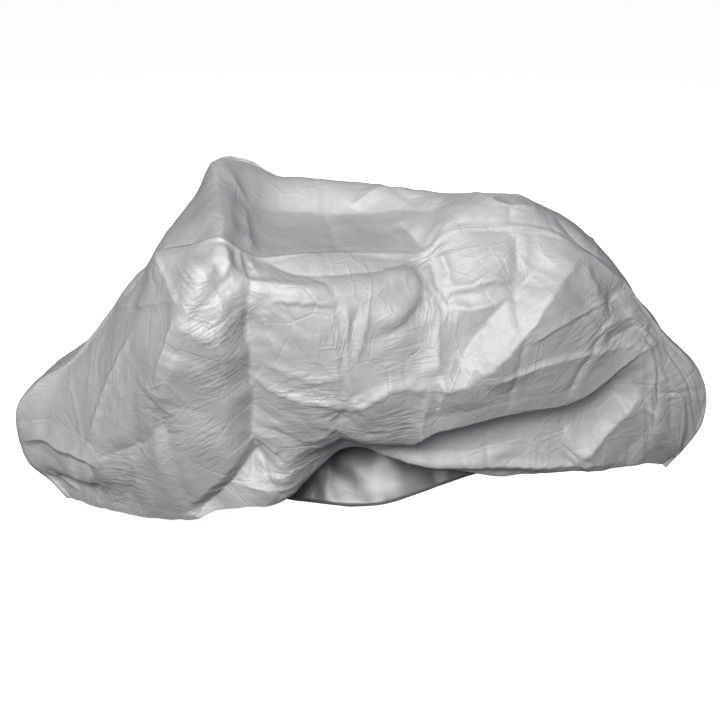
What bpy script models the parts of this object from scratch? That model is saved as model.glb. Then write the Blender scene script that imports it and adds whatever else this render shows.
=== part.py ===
"""A silver film cover, draped over a bicycle that stands on its kickstand.

Three panels of thin film: a near side, a far side and a strip that runs from the front hem up
the nose, over handlebar and saddle, and down the tail to the rear hem. The bicycle is left out.
Places are told in metres from the ground midway under the cover: x to the rear, y to the far
side and z up. The part's origin is then moved to the saddle, which holds the cover up.
"""
import math
from collections import namedtuple

import bmesh
import bpy
import numpy as np

FILM = 0.0016            # thickness of a panel's sheet
SEAM_GAP = 0.0003        # room between two panels along their seam
SADDLE = np.array((0.300, -0.080, 0.967))   # underside of the film on top of the saddle
COLUMN = 0.100           # longest step between two columns of the shared seams
FINER = 2                # a side has this many steps for each step of its seam
NEAR_ROWS = (3, 6, 7, 2, 6)   # steps from seam to shoulder, chest, fold, tuck and hem
FAR_ROWS = (6, 10, 8)         # steps from seam to shoulder, belly and hem
STRIP_ROWS = (3, 3, 2)        # steps from near seam to valley, crown and far seam
FADE_FROM_SEAM = 0.060   # width along a seam in which a fold runs out
FADE_COLUMNS = 3         # columns next to nose and tail in which it does
PULL = 4                 # how fast a side leaves its seam's own line, as a power
LONGEST_MITRE = 1.5      # times FILM, across the edge where two panels meet
SMOOTH_TO = 50           # degrees between two faces that are still shaded smooth
SILVER = (0.60, 0.61, 0.63)
ROUGHNESS = 0.42
METALLIC = 0.35

# Sections across the centre strip, from the front hem over the bicycle to the rear hem. x, y
# and z are on the near seam, valley and crown lie between, and lead pushes both along x.
Section = namedtuple("Section", "x y z valley_y valley_z crown_y crown_z far_x far_y far_z lead")
STRIP = (
    Section(-0.823, -0.160, 0.113, -0.06, 0.120, 0.03, 0.120, -0.815, 0.11, 0.110, -0.030),
    Section(-0.868, -0.155, 0.172, -0.06, 0.175, 0.03, 0.175, -0.860, 0.11, 0.170, -0.020),
    Section(-0.916, -0.150, 0.217, -0.06, 0.225, 0.03, 0.225, -0.900, 0.11, 0.220, -0.015),
    Section(-0.936, -0.150, 0.331, -0.06, 0.325, 0.03, 0.320, -0.915, 0.10, 0.320, -0.005),
    Section(-0.920, -0.150, 0.411, -0.06, 0.405, 0.03, 0.395, -0.900, 0.10, 0.390, 0.000),
    Section(-0.861, -0.150, 0.474, -0.06, 0.465, 0.03, 0.455, -0.845, 0.10, 0.445, 0.000),
    Section(-0.784, -0.155, 0.526, -0.06, 0.515, 0.03, 0.505, -0.775, 0.10, 0.495, 0.000),
    Section(-0.709, -0.165, 0.606, -0.06, 0.590, 0.03, 0.575, -0.705, 0.10, 0.565, 0.000),
    Section(-0.647, -0.180, 0.680, -0.08, 0.660, 0.03, 0.640, -0.645, 0.10, 0.625, 0.000),
    Section(-0.588, -0.214, 0.757, -0.10, 0.730, 0.03, 0.700, -0.595, 0.10, 0.675, 0.000),
    Section(-0.526, -0.250, 0.834, -0.12, 0.800, 0.02, 0.765, -0.545, 0.11, 0.730, 0.000),
    Section(-0.471, -0.290, 0.894, -0.15, 0.895, 0.01, 0.860, -0.500, 0.12, 0.800, 0.000),
    Section(-0.406, -0.330, 0.920, -0.16, 0.935, 0.02, 0.932, -0.455, 0.13, 0.870, 0.000),
    Section(-0.316, -0.380, 0.954, -0.14, 0.978, 0.08, 1.020, -0.360, 0.14, 1.008, 0.000),
    Section(-0.280, -0.362, 0.920, -0.08, 0.945, 0.09, 1.006, -0.290, 0.14, 0.995, 0.000),
    Section(-0.247, -0.330, 0.893, -0.05, 0.922, 0.08, 0.986, -0.245, 0.13, 0.970, 0.000),
    Section(-0.130, -0.280, 0.883, -0.03, 0.908, 0.07, 0.975, -0.130, 0.11, 0.945, 0.000),
    Section(0.000, -0.250, 0.875, -0.04, 0.910, 0.05, 0.968, 0.000, 0.10, 0.920, 0.000),
    Section(0.100, -0.220, 0.859, -0.05, 0.918, 0.03, 0.966, 0.100, 0.09, 0.890, 0.000),
    Section(0.152, -0.195, 0.852, -0.07, 0.930, 0.01, 0.962, 0.150, 0.08, 0.870, 0.000),
    Section(0.205, -0.180, 0.897, -0.10, 0.948, -0.03, 0.965, 0.205, 0.06, 0.850, 0.000),
    Section(0.313, -0.165, 0.913, -0.13, 0.952, -0.05, 0.970, 0.313, 0.05, 0.830, 0.000),
    Section(0.398, -0.165, 0.913, -0.12, 0.950, -0.05, 0.965, 0.398, 0.05, 0.820, 0.000),
    Section(0.487, -0.160, 0.894, -0.11, 0.922, -0.05, 0.932, 0.487, 0.05, 0.800, 0.000),
    Section(0.560, -0.150, 0.851, -0.10, 0.878, -0.04, 0.882, 0.565, 0.06, 0.780, 0.000),
    Section(0.686, -0.120, 0.753, -0.08, 0.758, 0.00, 0.745, 0.680, 0.07, 0.690, 0.000),
    Section(0.752, -0.100, 0.667, -0.04, 0.668, 0.03, 0.655, 0.750, 0.09, 0.620, 0.000),
    Section(0.829, -0.080, 0.574, -0.02, 0.572, 0.05, 0.560, 0.825, 0.11, 0.545, 0.005),
    Section(0.885, -0.070, 0.516, -0.01, 0.514, 0.06, 0.505, 0.880, 0.12, 0.495, 0.005),
    Section(0.960, -0.060, 0.408, 0.00, 0.405, 0.07, 0.400, 0.950, 0.13, 0.395, 0.003),
    Section(0.962, -0.060, 0.291, 0.00, 0.290, 0.07, 0.285, 0.950, 0.13, 0.285, 0.005),
    Section(0.930, -0.050, 0.218, 0.01, 0.218, 0.07, 0.215, 0.920, 0.13, 0.215, 0.005),
    Section(0.885, -0.040, 0.142, 0.02, 0.140, 0.08, 0.140, 0.870, 0.13, 0.140, 0.010),
)
FRONT_KNEE = 4           # section where the top's seam turns down the nose
REAR_KNEE = 29           # section where it turns down the tail

# The near side, a row for each rib from seam to hem. Ribs hang from the strip's sections in
# order. The front and rear ribs are the nose's and tail's own seams, so they have no row. bow is
# how far the rib's middle lies forward or back of a straight line from seam to hem.
NearRib = namedtuple("NearRib", "shoulder_y shoulder_z chest_y chest_z fold_y fold_z "
                                "tuck_y tuck_z hem_x hem_y hem_z bow")
NEAR = (
    NearRib(-0.165, 0.445, -0.202, 0.350, -0.218, 0.225, -0.185, 0.200, -0.765, -0.195, 0.119, 0.00),
    NearRib(-0.182, 0.500, -0.238, 0.380, -0.248, 0.225, -0.220, 0.200, -0.725, -0.222, 0.123, 0.00),
    NearRib(-0.200, 0.575, -0.280, 0.420, -0.272, 0.235, -0.252, 0.205, -0.685, -0.243, 0.127, 0.00),
    NearRib(-0.222, 0.640, -0.313, 0.450, -0.292, 0.250, -0.278, 0.215, -0.645, -0.262, 0.131, 0.00),
    NearRib(-0.255, 0.705, -0.331, 0.480, -0.305, 0.262, -0.293, 0.225, -0.610, -0.276, 0.134, -0.02),
    NearRib(-0.290, 0.775, -0.349, 0.510, -0.320, 0.275, -0.310, 0.232, -0.575, -0.288, 0.138, -0.04),
    NearRib(-0.335, 0.830, -0.363, 0.530, -0.334, 0.288, -0.325, 0.240, -0.535, -0.302, 0.145, -0.06),
    NearRib(-0.385, 0.855, -0.384, 0.535, -0.352, 0.300, -0.343, 0.250, -0.493, -0.317, 0.149, -0.09),
    NearRib(-0.460, 0.884, -0.412, 0.535, -0.375, 0.310, -0.362, 0.260, -0.447, -0.332, 0.152, -0.11),
    NearRib(-0.450, 0.868, -0.422, 0.530, -0.385, 0.330, -0.370, 0.270, -0.370, -0.352, 0.180, -0.07),
    NearRib(-0.420, 0.855, -0.405, 0.520, -0.380, 0.345, -0.368, 0.280, -0.300, -0.360, 0.205, 0.00),
    NearRib(-0.385, 0.848, -0.400, 0.515, -0.375, 0.365, -0.358, 0.290, -0.205, -0.330, 0.210, 0.00),
    NearRib(-0.330, 0.845, -0.375, 0.505, -0.320, 0.380, -0.245, 0.355, -0.045, -0.210, 0.303, 0.00),
    NearRib(-0.280, 0.838, -0.360, 0.505, -0.305, 0.375, -0.220, 0.350, 0.090, -0.190, 0.275, 0.00),
    NearRib(-0.240, 0.825, -0.350, 0.505, -0.298, 0.385, -0.215, 0.355, 0.160, -0.185, 0.242, 0.00),
    NearRib(-0.215, 0.850, -0.345, 0.510, -0.292, 0.400, -0.210, 0.365, 0.220, -0.178, 0.226, 0.00),
    NearRib(-0.215, 0.860, -0.330, 0.540, -0.280, 0.425, -0.205, 0.385, 0.309, -0.170, 0.207, 0.00),
    NearRib(-0.210, 0.860, -0.315, 0.610, -0.262, 0.438, -0.200, 0.395, 0.389, -0.160, 0.185, 0.00),
    NearRib(-0.210, 0.840, -0.285, 0.690, -0.242, 0.445, -0.190, 0.405, 0.470, -0.155, 0.190, 0.00),
    NearRib(-0.195, 0.800, -0.235, 0.700, -0.218, 0.455, -0.175, 0.410, 0.558, -0.145, 0.195, 0.00),
    NearRib(-0.140, 0.700, -0.160, 0.620, -0.165, 0.520, -0.140, 0.470, 0.690, -0.125, 0.193, 0.00),
    NearRib(-0.115, 0.630, -0.130, 0.590, -0.145, 0.560, -0.135, 0.500, 0.760, -0.105, 0.188, 0.00),
    NearRib(-0.095, 0.545, -0.120, 0.470, -0.130, 0.390, -0.125, 0.320, 0.823, -0.080, 0.182, 0.00),
    NearRib(-0.085, 0.490, -0.100, 0.430, -0.105, 0.350, -0.100, 0.280, 0.855, -0.060, 0.165, 0.00),
)

# The far side, a row for each rib, hung from the strip's section of that number.
FarRib = namedtuple("FarRib", "section shoulder_y shoulder_z belly_y belly_z hem_x hem_y hem_z")
FAR = (
    FarRib(7, 0.130, 0.480, 0.140, 0.250, -0.680, 0.100, 0.090),
    FarRib(11, 0.150, 0.720, 0.170, 0.350, -0.480, 0.060, 0.050),
    FarRib(13, 0.175, 0.950, 0.185, 0.400, -0.330, 0.020, 0.030),
    FarRib(16, 0.150, 0.850, 0.170, 0.380, -0.150, -0.035, 0.022),
    FarRib(18, 0.130, 0.800, 0.160, 0.360, 0.060, -0.050, 0.022),
    FarRib(21, 0.090, 0.740, 0.150, 0.380, 0.280, 0.005, 0.072),
    FarRib(23, 0.090, 0.720, 0.145, 0.400, 0.480, 0.050, 0.110),
    FarRib(25, 0.110, 0.620, 0.145, 0.380, 0.680, 0.090, 0.130),
    FarRib(27, 0.140, 0.480, 0.155, 0.320, 0.800, 0.120, 0.140),
)

# Folds, drawn on a panel's elevation: points of x and z on the sides, x and y on the strip. A
# crest stands out by its height, and a groove has a height below zero.
Fold = namedtuple("Fold", "height width points")
NEAR_FOLDS = (
    Fold(-0.022, 0.060, ((-0.28, 0.80), (-0.28, 0.60), (-0.27, 0.36))),
    Fold(-0.018, 0.070, ((-0.40, 0.20), (-0.34, 0.27), (-0.25, 0.34))),
    Fold(-0.020, 0.050, ((-0.04, 0.48), (-0.05, 0.42), (-0.02, 0.35))),
    Fold(0.018, 0.070, ((0.56, 0.80), (0.48, 0.74), (0.41, 0.66), (0.28, 0.53))),
    Fold(-0.020, 0.060, ((0.19, 0.84), (0.19, 0.72), (0.36, 0.72), (0.44, 0.78))),
    Fold(-0.020, 0.060, ((-0.90, 0.30), (-0.74, 0.27), (-0.52, 0.28))),
    Fold(0.016, 0.080, ((-0.62, 0.67), (-0.43, 0.74))),
    Fold(-0.016, 0.050, ((-0.02, 0.80), (-0.03, 0.54))),
    Fold(0.010, 0.080, ((-0.34, 0.80), (-0.44, 0.65), (-0.49, 0.54))),
    Fold(0.012, 0.070, ((0.58, 0.22), (0.66, 0.30), (0.77, 0.42))),
    Fold(0.010, 0.060, ((0.56, 0.84), (0.62, 0.80), (0.69, 0.75))),
)
FAR_FOLDS = (
    Fold(0.016, 0.080, ((-0.34, 0.93), (-0.42, 0.70), (-0.56, 0.42), (-0.64, 0.18))),
    Fold(0.016, 0.090, ((-0.33, 0.90), (-0.26, 0.60), (-0.24, 0.12))),
    Fold(-0.014, 0.070, ((-0.15, 0.78), (-0.13, 0.45), (-0.12, 0.10))),
    Fold(0.014, 0.080, ((-0.28, 0.88), (-0.08, 0.68), (0.16, 0.56))),
    Fold(0.014, 0.080, ((0.28, 0.78), (0.23, 0.50), (0.24, 0.13))),
    Fold(-0.012, 0.070, ((0.04, 0.70), (0.08, 0.40), (0.08, 0.10))),
    Fold(0.014, 0.080, ((0.62, 0.20), (0.48, 0.44), (0.33, 0.74))),
    Fold(-0.012, 0.060, ((0.56, 0.70), (0.62, 0.44), (0.70, 0.20))),
)
STRIP_FOLDS = (
    Fold(0.010, 0.060, ((-0.39, 0.10), (-0.35, -0.14), (-0.32, -0.32))),
    Fold(-0.008, 0.050, ((-0.27, -0.06), (-0.09, -0.03), (0.10, -0.04), (0.20, -0.10))),
)


def spline(knots, values, t):
    """Values at t on a smooth curve through the rows of values at the knots."""
    knots, values, t = (np.asarray(a, dtype=float) for a in (knots, values, t))
    steps = np.diff(knots)[:, None]
    slopes = np.diff(values, axis=0) / steps
    tangents = np.empty_like(values)
    tangents[0], tangents[-1] = slopes[0], slopes[-1]
    tangents[1:-1] = (slopes[:-1] * steps[1:] + slopes[1:] * steps[:-1]) / (steps[:-1] + steps[1:])
    i = np.clip(np.searchsorted(knots, t, side="right") - 1, 0, len(knots) - 2)
    h = steps[i]
    f = ((t - knots[i])[:, None]) / h
    return ((2 * f**3 - 3 * f**2 + 1) * values[i] + (f**3 - 2 * f**2 + f) * h * tangents[i]
            + (3 * f**2 - 2 * f**3) * values[i + 1] + (f**3 - f**2) * h * tangents[i + 1])


def chord_knots(points):
    """Knots for a curve through the points, spaced by their distances."""
    return np.concatenate(([0.0], np.cumsum(np.linalg.norm(np.diff(points, axis=0), axis=1))))


def down_rib(courses, rows):
    """Points along a rib through its courses, with the given steps between two courses."""
    knots = chord_knots(courses)
    t = [knots[0]]
    for k, steps in enumerate(rows):
        t.extend(np.linspace(knots[k], knots[k + 1], steps + 1)[1:])
    return spline(knots, courses, np.array(t))


def section_courses(s):
    """The near seam, valley, crown and far seam of one section across the strip."""
    across = (s.far_x - s.x) / (s.far_y - s.y)
    valley = (s.x + across * (s.valley_y - s.y) + s.lead, s.valley_y, s.valley_z)
    crown = (s.x + across * (s.crown_y - s.y) + s.lead, s.crown_y, s.crown_z)
    return np.array(((s.x, s.y, s.z), valley, crown, (s.far_x, s.far_y, s.far_z)))


def strip_places():
    """Section numbers, with fractions, at which the seams have a vertex."""
    side_steps = sum(NEAR_ROWS) // FINER
    places = [0.0]
    for k in range(len(STRIP) - 1):
        if k < FRONT_KNEE:
            steps = side_steps // FRONT_KNEE
        elif k >= REAR_KNEE:
            steps = side_steps // (len(STRIP) - 1 - REAR_KNEE)
        else:
            a, b = (np.array(STRIP[i][:3]) for i in (k, k + 1))
            steps = max(1, math.ceil(np.linalg.norm(b - a) / COLUMN))
        places.extend(k + np.arange(1, steps + 1) / steps)
    return np.array(places)


def strip_grid(places):
    """Outer points of the centre strip: a line across it for each place."""
    courses = np.array([section_courses(s) for s in STRIP])
    knots = chord_knots(courses.mean(axis=1))
    t = np.interp(places, np.arange(len(STRIP)), knots)
    lines = [spline(knots, courses[:, c], t) for c in range(courses.shape[1])]
    return np.array([down_rib(np.array(line), STRIP_ROWS) for line in zip(*lines)])


def finer(points, times):
    """The points with straight steps between each two of them."""
    n = len(points)
    t = np.linspace(0, n - 1, (n - 1) * times + 1)
    return np.stack([np.interp(t, np.arange(n), points[:, c]) for c in range(3)], axis=1)


def near_courses(rib, seam):
    """Seam, shoulder, chest, fold, tuck and hem of one rib of the near side."""
    hem = np.array((rib.hem_x, rib.hem_y, rib.hem_z))
    courses = [seam]
    for y, z in ((rib.shoulder_y, rib.shoulder_z), (rib.chest_y, rib.chest_z),
                 (rib.fold_y, rib.fold_z), (rib.tuck_y, rib.tuck_z)):
        down = (seam[2] - z) / (seam[2] - hem[2])
        x = seam[0] + (hem[0] - seam[0]) * down + rib.bow * 4 * down * (1 - down)
        courses.append(np.array((x, y, z)))
    return np.array(courses + [hem])


def far_courses(rib, seam):
    """Seam, shoulder, belly and hem of one rib of the far side."""
    hem = np.array((rib.hem_x, rib.hem_y, rib.hem_z))
    courses = [seam]
    for y, z in ((rib.shoulder_y, rib.shoulder_z), (rib.belly_y, rib.belly_z)):
        down = (seam[2] - z) / (seam[2] - hem[2])
        courses.append(np.array((seam[0] + (hem[0] - seam[0]) * down, y, z)))
    return np.array(courses + [hem])


def side_grid(edge, front, numbers, ribs):
    """Outer points of a side: a column from seam to hem for each vertex of its top seam.

    edge holds the side's whole seam, from front hem to rear hem, and front is the number of
    steps in it up the nose. numbers says at which step of the top seam each rib hangs.
    """
    top = edge[front:len(edge) - front]
    ribs = [edge[front::-1]] + ribs + [edge[len(edge) - 1 - front:]]
    ribs = np.array(ribs)
    knots = chord_knots(ribs.mean(axis=1))
    t = np.interp(np.arange(len(top)), numbers, knots)
    grid = np.stack([spline(knots, ribs[:, j], t) for j in range(ribs.shape[1])], axis=1)
    fade = (1 - np.linspace(0, 1, grid.shape[1]))[None, :, None] ** PULL
    grid += (top - grid[:, 0])[:, None, :] * fade
    grid[0], grid[-1] = ribs[0], ribs[-1]
    return grid


def grid_normals(grid):
    """Unit normals of a grid of points, from its rows crossed with its columns."""
    across = np.gradient(grid, axis=0)
    down = np.gradient(grid, axis=1)
    normals = np.cross(across, down)
    return normals / np.linalg.norm(normals, axis=2, keepdims=True)


def to_fold(u, v, points):
    """Distance of each place of an elevation to the line through the points."""
    best = np.full(u.shape, np.inf)
    for (u0, v0), (u1, v1) in zip(points[:-1], points[1:]):
        length2 = (u1 - u0) ** 2 + (v1 - v0) ** 2
        along = np.clip(((u - u0) * (u1 - u0) + (v - v0) * (v1 - v0)) / length2, 0, 1)
        gap = np.hypot(u - u0 - along * (u1 - u0), v - v0 - along * (v1 - v0))
        best = np.minimum(gap, best)
    return best


def fold_heights(grid, folds, upright):
    """How far the folds push each point of a panel out.

    upright is the elevation's second axis: 2 for a side, whose points are told by x and z, and
    1 for the strip. grid runs along the panel and then from seam to hem or seam to seam.
    """
    height = np.zeros(grid.shape[:2])
    for fold in folds:
        distance = to_fold(grid[..., 0], grid[..., upright], fold.points)
        height += fold.height * np.clip(1 - distance / fold.width, 0, 1) ** 2
    return height


def side_fade(grid):
    """From 0 at a side's seams to 1 away from them."""
    steps = np.linalg.norm(np.diff(grid, axis=1), axis=2)
    down = np.concatenate((np.zeros((len(grid), 1)), np.cumsum(steps, axis=1)), axis=1)
    columns = np.arange(len(grid))[:, None]
    from_ends = np.minimum(columns, columns[::-1]) / FADE_COLUMNS
    return np.clip(down / FADE_FROM_SEAM, 0, 1) * np.clip(from_ends, 0, 1)


def strip_fade(grid):
    """From 0 at the strip's seams to 1 away from them."""
    rows = np.arange(grid.shape[1])[None, :]
    return np.clip(np.minimum(rows, rows[:, ::-1]), 0, 1)


def ring(grid):
    """The points of a side along its whole seam, from front hem to rear hem."""
    return np.concatenate((grid[0, ::-1], grid[1:, 0], grid[-1, 1:]))


def with_ring(grid, edge):
    """A copy of a side's grid with its seam moved to the points of edge."""
    grid = grid.copy()
    rows = grid.shape[1] - 1
    grid[0, ::-1] = edge[:rows + 1]
    grid[:, 0] = edge[rows:len(edge) - rows]
    grid[-1] = edge[len(edge) - rows - 1:]
    return grid


def unit(vectors):
    """The vectors at length one."""
    return vectors / np.linalg.norm(vectors, axis=-1, keepdims=True)


def seam_edges(edge, side_normals, strip_normals, into_side):
    """Outer and inner edge points of the side and of the strip, a seam's gap apart."""
    normals = unit(side_normals + strip_normals)
    miter = np.clip(1 / (normals * side_normals).sum(axis=1), 1.0, LONGEST_MITRE)
    away = unit(np.cross(np.gradient(edge, axis=0), normals))
    away *= np.sign((away * into_side).sum(axis=1))[:, None]
    inner = edge - normals * (FILM * miter)[:, None]
    half = away * SEAM_GAP / 2
    return (edge + half, inner + half), (edge - half, inner - half)


def make_panel(name, outer, inner, material):
    """One closed sheet between a grid of outer points and its grid of inner points."""
    mesh = bpy.data.meshes.new(name)
    panel = bpy.data.objects.new(name, mesh)
    bpy.context.collection.objects.link(panel)
    columns, rows = outer.shape[:2]
    bm = bmesh.new()
    skins = [[[bm.verts.new(p) for p in line] for line in grid - SADDLE] for grid in (outer, inner)]
    for skin in skins:
        for i in range(columns - 1):
            for j in range(rows - 1):
                bm.faces.new((skin[i][j], skin[i + 1][j], skin[i + 1][j + 1], skin[i][j + 1]))
    round_edge = ([(i, 0) for i in range(columns - 1)]
                  + [(columns - 1, j) for j in range(rows - 1)]
                  + [(i, rows - 1) for i in range(columns - 1, 0, -1)]
                  + [(0, j) for j in range(rows - 1, 0, -1)])
    for (i, j), (k, m) in zip(round_edge, round_edge[1:] + round_edge[:1]):
        bm.faces.new((skins[0][i][j], skins[0][k][m], skins[1][k][m], skins[1][i][j]))
    bmesh.ops.triangulate(bm, faces=bm.faces)
    bmesh.ops.recalc_face_normals(bm, faces=bm.faces)
    bm.to_mesh(mesh)
    bm.free()
    mesh.materials.append(material)
    mesh.shade_smooth()
    mesh.set_sharp_from_angle(angle=math.radians(SMOOTH_TO))
    return panel


def film_material(name):
    """Silver-grey film with a soft sheen."""
    material = bpy.data.materials.new(name)
    material.use_nodes = True
    shader = material.node_tree.nodes["Principled BSDF"]
    shader.inputs["Base Color"].default_value = (*SILVER, 1.0)
    shader.inputs["Roughness"].default_value = ROUGHNESS
    shader.inputs["Metallic"].default_value = METALLIC
    return material


def main():
    """Build the three panels."""
    for old in list(bpy.data.objects):
        bpy.data.objects.remove(old)

    places = strip_places()
    strip = strip_grid(places)
    edges = {course: finer(strip[:, course], FINER) for course in (0, -1)}
    front = sum(NEAR_ROWS) // FINER
    top_places = places[front:len(places) - front]
    steps = np.arange(len(top_places)) * FINER

    # each side is finer than its seam, which stays straight between the shared vertices
    seams = [np.array(s[:3]) for s in STRIP[FRONT_KNEE + 1:REAR_KNEE]]
    ribs = [down_rib(near_courses(rib, seam), NEAR_ROWS) for rib, seam in zip(NEAR, seams)]
    numbers = np.interp(range(FRONT_KNEE, REAR_KNEE + 1), top_places, steps)
    near = side_grid(edges[0], front * FINER, numbers, ribs)

    seams = [np.array((s.far_x, s.far_y, s.far_z)) for s in STRIP]
    ribs = [down_rib(far_courses(rib, seams[rib.section]), FAR_ROWS) for rib in FAR]
    sections = [FRONT_KNEE] + [rib.section for rib in FAR] + [REAR_KNEE]
    numbers = np.interp(sections, top_places, steps)
    far = side_grid(edges[-1], front * FINER, numbers, ribs)

    height = fold_heights(near, NEAR_FOLDS, 2) * side_fade(near)
    near += -grid_normals(near) * height[..., None]
    height = fold_heights(far, FAR_FOLDS, 2) * side_fade(far)
    far += grid_normals(far) * height[..., None]
    height = fold_heights(strip, STRIP_FOLDS, 1) * strip_fade(strip)
    strip += grid_normals(strip) * height[..., None]

    strip_normals = grid_normals(strip)
    strip_in = strip - strip_normals * FILM
    panels = {}
    for name, grid, facing, course, beside in (("near_side", near, -1, 0, 1),
                                               ("far_side", far, 1, -1, -2)):
        normals = facing * grid_normals(grid)
        inner = grid - normals * FILM
        into = ring(grid)[::FINER] - strip[:, beside]
        side, band = seam_edges(strip[:, course], ring(normals)[::FINER],
                                strip_normals[:, course], into)
        panels[name] = (with_ring(grid, finer(side[0], FINER)),
                        with_ring(inner, finer(side[1], FINER)))
        strip[:, course], strip_in[:, course] = band
    panels["centre_strip"] = (strip, strip_in)

    for name, (outer, inner) in panels.items():
        make_panel(name, outer, inner, film_material(name + "_film"))


main()
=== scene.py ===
"""The looks of a silver film cover, draped over a bicycle that stands on its kickstand.

The three panels follow the same courses as their solids, finely enough to carry every crease.
Places are told from the ground midway under the cover: x to the rear, y to the far side and z
up. The tables are in millimetres, and all else is in metres. The part's own origin is under the
film on top of the saddle, so SADDLE is taken off every point at the end.
"""

import itertools
import logging
import math
from dataclasses import dataclass, field
from enum import Enum, IntEnum
from typing import Callable, Iterable, NamedTuple, Sequence

import bpy
import numpy as np
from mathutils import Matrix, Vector


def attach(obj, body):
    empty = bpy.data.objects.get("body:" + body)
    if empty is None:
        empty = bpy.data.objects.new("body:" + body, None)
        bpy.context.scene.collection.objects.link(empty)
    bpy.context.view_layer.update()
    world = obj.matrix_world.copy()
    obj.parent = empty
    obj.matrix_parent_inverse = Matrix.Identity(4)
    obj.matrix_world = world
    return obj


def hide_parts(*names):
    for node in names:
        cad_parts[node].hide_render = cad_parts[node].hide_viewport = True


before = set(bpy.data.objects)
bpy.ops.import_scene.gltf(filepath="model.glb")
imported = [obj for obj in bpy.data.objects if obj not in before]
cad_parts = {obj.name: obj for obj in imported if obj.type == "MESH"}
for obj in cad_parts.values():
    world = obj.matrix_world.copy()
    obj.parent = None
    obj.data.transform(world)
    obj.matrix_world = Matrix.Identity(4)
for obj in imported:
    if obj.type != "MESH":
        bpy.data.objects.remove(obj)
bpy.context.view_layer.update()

LOG = logging.getLogger("cover")
Array = np.ndarray

MM = 0.001
TINY = 1e-12                  # keeps a division from one by zero
SADDLE = np.array((0.300, -0.080, 0.967))
FILM = 0.0016                 # thickness of a panel's sheet
COLUMN = 0.0060               # length of seam to a column along the top
ROWS = 192                    # steps from seam to hem, and down nose and tail
NEAR_SHARES = (3, 6, 7, 2, 6)      # rows between seam, shoulder, chest, fold, tuck and hem
FAR_SHARES = (3, 5, 4)             # rows between seam, shoulder, belly and hem
STRIP_ROWS = (28, 26, 18)     # rows between near seam, valley, crown and far seam
HEM = 0.020                   # width of film turned in at a hem
FRONT_KNEE = 4                # section where the top's seam turns down the nose
REAR_KNEE = 29                # section where it turns down the tail
HASH = (73856093, 19349663, 83492791)     # factors that mix a cell's three numbers

# Directions of fine wrinkles, in degrees, and the names of their marks on the mesh.
WRINKLE_TURNS = {28: "slanting", 4: "level", 80: "upright"}


class Seed(IntEnum):
    """Which set of lumps each use of noise takes. A panel adds its own seed to the last four."""
    PINCH_TURN = 71
    PINCH_HEIGHT = 72
    SWAY = 90
    SWAY_FINE = 95
    ROUGH = 30
    DENTS = 40
    MARKS = 50
    PUCKER = 60


class Section(NamedTuple):
    """A section across the strip. lead pushes its valley and crown along x."""
    x: float
    y: float
    z: float
    valley_y: float
    valley_z: float
    crown_y: float
    crown_z: float
    far_x: float
    far_y: float
    far_z: float
    lead: float


class NearRib(NamedTuple):
    """A line down the near side. bow is how far its middle lies forward or back."""
    shoulder_y: float
    shoulder_z: float
    chest_y: float
    chest_z: float
    fold_y: float
    fold_z: float
    tuck_y: float
    tuck_z: float
    hem_x: float
    hem_y: float
    hem_z: float
    bow: float


class FarRib(NamedTuple):
    """A line down the far side, hung from the strip's section of that number."""
    section: int
    shoulder_y: float
    shoulder_z: float
    belly_y: float
    belly_z: float
    hem_x: float
    hem_y: float
    hem_z: float


class Kind(Enum):
    """How the film stands along a fold's line."""
    SHARP = "a ridge, or with a height below zero a valley, that comes to a sharp line"
    SOFT = "the same, rounded"
    LIP = "a fold that rises slowly on the left of its line and drops off on the right"


class Fold(NamedTuple):
    """One fold, with its line told on the elevation."""
    kind: Kind
    height: float
    width: float
    line: tuple[tuple[float, float], ...]


class Pinch(NamedTuple):
    """Wrinkles that run out from one gathered place of the elevation."""
    u: float
    v: float
    reach: float
    height: float
    spokes: int


class Crumple(NamedTuple):
    """A patch of small wrinkles. turn is their angle in degrees."""
    u: float
    v: float
    reach: float
    turn: float
    across: float
    along: float
    height: float


def metres(sizes: Iterable) -> Array:
    """Sizes told in millimetres, in metres."""
    return np.array(sizes) / 1000


def folds(*rows: tuple) -> list[Fold]:
    """Folds from rows of kind, height, width and the points of their line."""
    return [Fold(*row[:3], row[3:]) for row in rows]


SHARP, SOFT, LIP = Kind

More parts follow.
